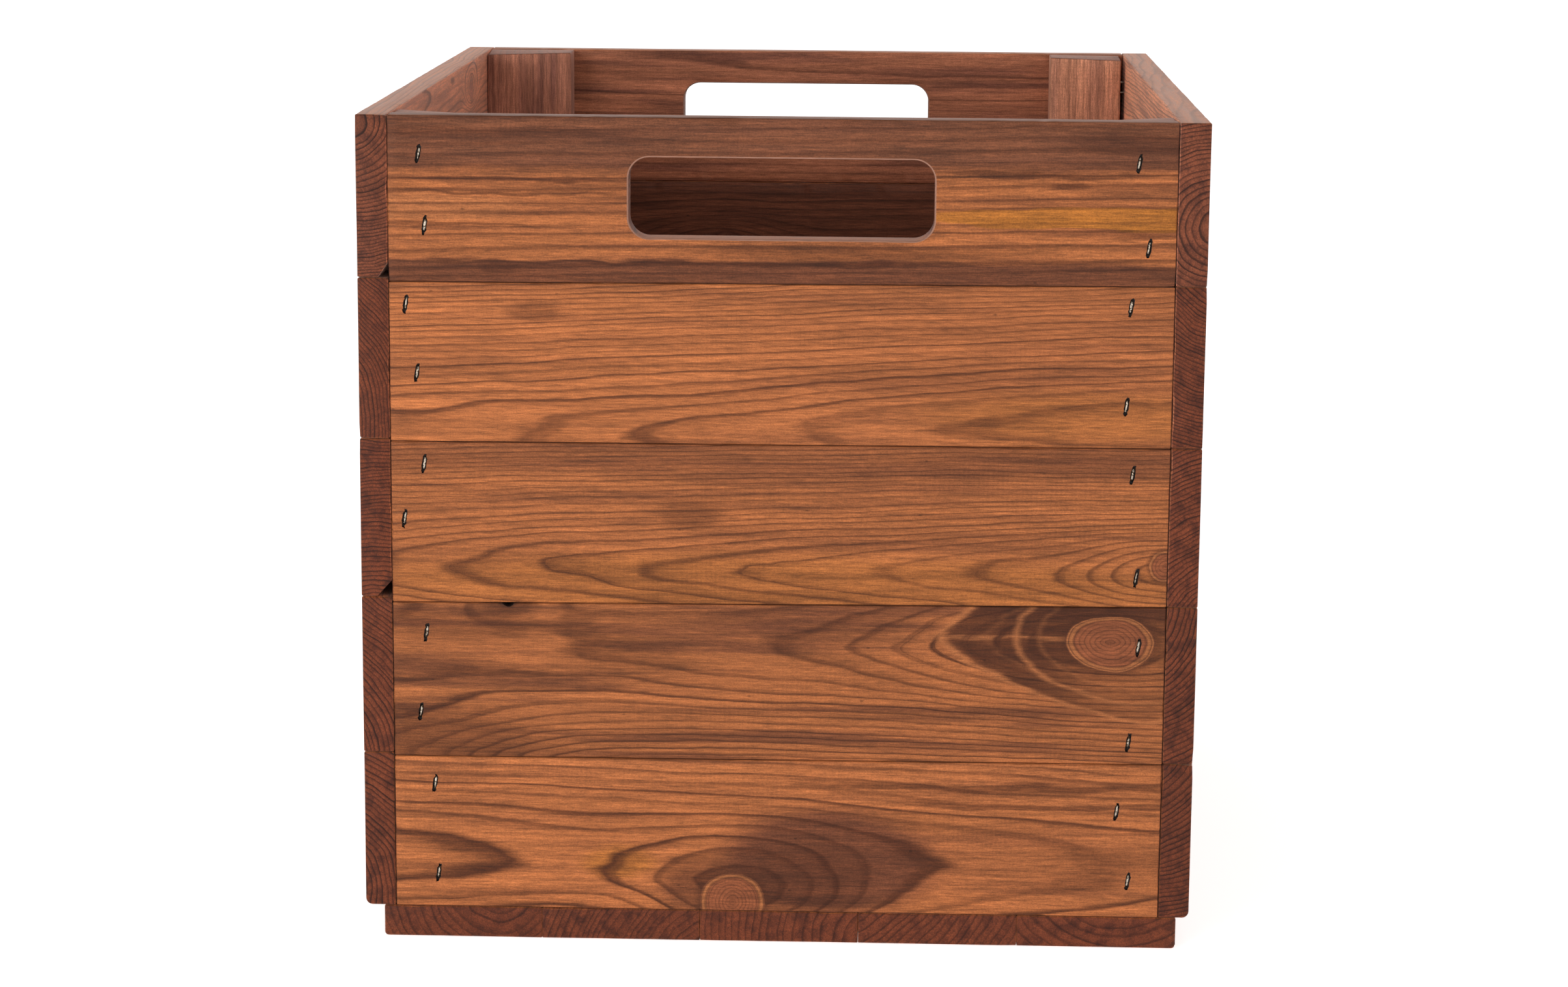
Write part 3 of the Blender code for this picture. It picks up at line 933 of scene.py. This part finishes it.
class CrateSideBoards(bpy.types.Operator):
    """Builds the ten side boards; two on the left keep some of the log's rounded edge"""

    bl_idname = "crate.side_boards"
    bl_label = "Side Boards"

    def execute(self, context):
        wanes = {1: (4.0, 6.0, 120.0), 3: (5.8, 6.4, 150.0)}
        for wall, first, inner_light_and_sheen in (("left", 40, (2.0, 2.0, 2.9)), ("right", 60, (2.5, 3.0, 4.8))):
            for number in range(1, 6):
                node = f"{wall}_side_board_{number}"
                # The inner faces hold painted light and a painted pinkish sheen, strongest on the upper boards and
                # on the right wall, which faces the light from the left.
                inside = Vector(inner_light_and_sheen).lerp(Vector((1.0, 1.0, 1.0)), (number - 1) / 4)
                timber = any_timber(first + number)._replace(ring=1.2 + 0.16 * number, inside=inside)
                if number == 1:
                    timber = timber._replace(ends=(0.36, 0.31, 0.44), fuzz=0.4)
                cutters = [dents_on(wall, node)]
                if wall == "left" and number in wanes:
                    cutters.append(wane_cutter(number, *(size * MM for size in wanes[number])))
                board_piece(node, wall, "side_boards", timber, cutters)
        return report_done(self, "Side boards built")


class CrateBottomBoards(bpy.types.Operator):
    """Builds the five bottom boards"""

    bl_idname = "crate.bottom_boards"
    bl_label = "Bottom Boards"

    def execute(self, context):
        for number in range(1, 6):
            node = f"bottom_board_{number}"
            timber = any_timber(80 + number)._replace(contrast=0.6)
            board_piece(node, "bottom", "bottom_boards", timber, [dents_on("bottom", node)])
        return report_done(self, "Bottom boards built")


class CratePosts(bpy.types.Operator):
    """Builds the four corner posts"""

    bl_idname = "crate.posts"
    bl_label = "Posts"

    def execute(self, context):
        # Each post's tint is partly paler wood and partly a painted pinkish sheen, which makes it bluer than the
        # stain.
        wood_and_sheen_tints = {"back_left": (1.15, 1.45, 2.8), "back_right": (1.5, 2.05, 3.8)}
        for index, place in enumerate(("front_left", "front_right", "back_left", "back_right")):
            tint = wood_and_sheen_tints.get(place, (1.0, 1.1, 1.4))
            # The tops are all one colour, whatever paler wood and painted sheen the sides' tints hold.
            tops = tuple(share / part for share, part in zip((0.36, 0.26, 0.24), tint))
            timber = any_timber(100 + index)._replace(contrast=0.4, tint=tint, ends=tops)
            board_piece(f"post_{place}", "post", "posts", timber, [])
        return report_done(self, "Posts built")


class CrateStaples(bpy.types.Operator):
    """Drives the wire staples through the boards of every wall and the bottom"""

    bl_idname = "crate.staples"
    bl_label = "Staples"

    def execute(self, context):
        steel = [galvanised_steel()]
        nodes = [f"front_staple_{side}_{number:02d}" for side in ("left", "right") for number in range(1, 11)]
        for index, (node, place) in enumerate(zip(nodes, staple_places("front"))):
            smooth(piece(node + "_wire", staple_wire(place, index), "staples", steel, node))
        for wall in ("back", "left", "right", "bottom"):
            wires = [staple_wire(place, index) for index, place in enumerate(staple_places(wall))]
            smooth(piece(f"{wall}_staples", joined(wires), "staples", steel))
        return report_done(self, "Staples driven")


class CrateStudio(bpy.types.Operator):
    """Sets up the camera, the pale floor and the soft lights"""

    bl_idname = "crate.studio"
    bl_label = "Studio"

    def execute(self, context):
        scene = context.scene
        camera = bpy.data.cameras.new("camera")
        camera.lens = 83.12
        camera.sensor_width = 36.0
        viewer = bpy.data.objects.new("camera", camera)
        viewer.location = (0.04415, -1.58325, 0.45315)
        viewer.rotation_euler = [math.radians(angle) for angle in (79.0459, -0.4439, 1.8220)]
        scene.collection.objects.link(viewer)
        scene.camera = viewer
        scene.view_settings.view_transform = "Standard"

        floor_material, tree = new_material("matte_white_paper")
        world_point = add(tree, "TexCoord").outputs["Object"]
        grain = add(tree, "TexNoise", world_point, 900.0, 2.0)
        shade = add(tree, "MapRange", grain, 0.3, 0.7, 0.93, 0.96)
        bump = add(tree, "Bump", sockets={"Strength": 0.05, "Distance": 0.1 * MM, "Height": grain})
        add(tree, "OutputMaterial", add(tree, "BsdfPrincipled", sockets={
            "Base Color": shade, "Roughness": 0.9, "Normal": bump,
            "Emission Color": (1.0, 1.0, 1.0, 1.0), "Emission Strength": 0.6,
        }))
        bm = bmesh.new()
        below = Matrix.Translation((0.0, 0.0, cad_bounds[0].z - 0.2 * MM))
        bmesh.ops.create_circle(bm, cap_ends=True, segments=64, radius=30.0, matrix=below)
        mesh = bpy.data.meshes.new("floor")
        bm.to_mesh(mesh)
        bm.free()
        mesh.materials.append(floor_material)
        floor = bpy.data.objects.new("floor", mesh)
        scene.collection.objects.link(floor)

        world = bpy.data.worlds.new("white_room")
        world.use_nodes = True
        tree = world.node_tree
        tree.nodes.clear()
        height = add(tree, "SeparateXYZ", add(tree, "TexCoord").outputs["Generated"]).outputs["Z"]
        glow = add(tree, "MapRange", height, 0.3, 0.85, 1.02, 0.4, interpolation_type="SMOOTHSTEP")
        add(tree, "OutputWorld", add(tree, "Background", (1.0, 1.0, 1.0, 1.0), glow))
        scene.world = world
        for name, spot, size, watts in (
            ("left_softbox", (-1.5, -2.3, 0.75), 1.1, 26.0),
            ("right_softbox", (1.4, -2.4, 0.65), 1.1, 6.0),
        ):
            light = bpy.data.lights.new(name, "AREA")
            light.size = size
            light.energy = watts
            lamp = bpy.data.objects.new(name, light)
            lamp.location = spot
            aim = Vector((0.0, 0.0, 0.15)) - Vector(spot)
            lamp.rotation_euler = aim.to_track_quat("-Z", "Y").to_euler()
            scene.collection.objects.link(lamp)
        return report_done(self, "Studio ready")


OPERATORS = (
    CrateStudio, CrateFrontBoards, CrateBackBoards, CrateSideBoards, CrateBottomBoards, CratePosts, CrateStaples,
)


class CratePanel(bpy.types.Panel):
    """Lists the crate's settings and the buttons that build it"""

    bl_idname = "VIEW3D_PT_crate"
    bl_label = "Apple Crate"
    bl_space_type = "VIEW_3D"
    bl_region_type = "UI"
    bl_category = "Crate"

    def draw(self, context):
        for settings in (context.scene.crate_sizes, context.scene.crate_stain):
            for name in settings.__annotations__:
                self.layout.prop(settings, name)
        for operator in OPERATORS:
            self.layout.operator(operator.bl_idname)


CLASSES = (CrateStain, CrateSizes, *OPERATORS, CratePanel)


def register():
    for kind in CLASSES:
        bpy.utils.register_class(kind)
    bpy.types.Scene.crate_stain = PointerProperty(type=CrateStain)
    bpy.types.Scene.crate_sizes = PointerProperty(type=CrateSizes)


def unregister():
    del bpy.types.Scene.crate_sizes
    del bpy.types.Scene.crate_stain
    for kind in reversed(CLASSES):
        bpy.utils.unregister_class(kind)


def main():
    register()
    for operator in OPERATORS:
        group, name = operator.bl_idname.split(".")
        getattr(getattr(bpy.ops, group), name)()


if __name__ == "__main__":
    main()
